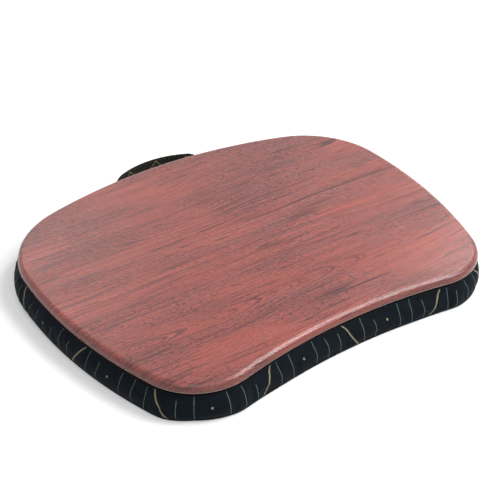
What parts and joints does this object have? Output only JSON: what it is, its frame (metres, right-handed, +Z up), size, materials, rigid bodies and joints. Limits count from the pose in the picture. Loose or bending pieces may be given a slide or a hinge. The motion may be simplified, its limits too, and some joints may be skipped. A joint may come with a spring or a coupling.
{
  "type": "lap desk",
  "caption": "Lap desk: a waisted woodgrain board with a round edge on a thin bulged fabric cushion, with a cloth strap handle that swings at the back.",
  "frame": {"origin": "on the table plane, under the middle of the board's width and depth", "axes": "+Z up out of the writing surface, -Y towards the user, +Y towards the handle, +X to the user's right"},
  "size_m": [0.5468, 0.4648, 0.042],
  "materials": {
    "fibreboard": "sanded",
    "woodgrain_foil": "satin, printed and embossed with a cherry-red grain",
    "backing_paper": "matt",
    "hook_tape": "napped",
    "loop_tape": "napped",
    "plain_cloth": "woven",
    "printed_cloth": "woven, printed with fine gold strokes",
    "wadding": "fibrous",
    "foam": "open cell",
    "strap_cloth": "woven, printed with fine gold hatching",
    "thread": "satin thread",
    "webbing": "woven"
  },
  "bodies": {
    "desk": {"board_core": "fibreboard", "woodgrain_foil": "woodgrain_foil", "board_backing": "backing_paper", "hook_tapes": "hook_tape", "loop_tapes": "loop_tape", "cushion_top_panel": "plain_cloth", "cushion_side_band": "printed_cloth", "cushion_wadding": "wadding", "cushion_foam": "foam", "cushion_base_panel": "plain_cloth", "handle_tab_left": "strap_cloth", "handle_tab_right": "strap_cloth", "handle_stitches": "thread"},
    "handle": {"handle_sleeve": "strap_cloth", "handle_webbing": "webbing"}
  },
  "joints": [
    {"name": "handle_swing", "type": "hinge", "parent": "desk", "child": "handle", "pos_m": [0, 0.21828, 0.015], "axis": [1, 0, 0], "range_deg": [-40, 50]}
  ]
}
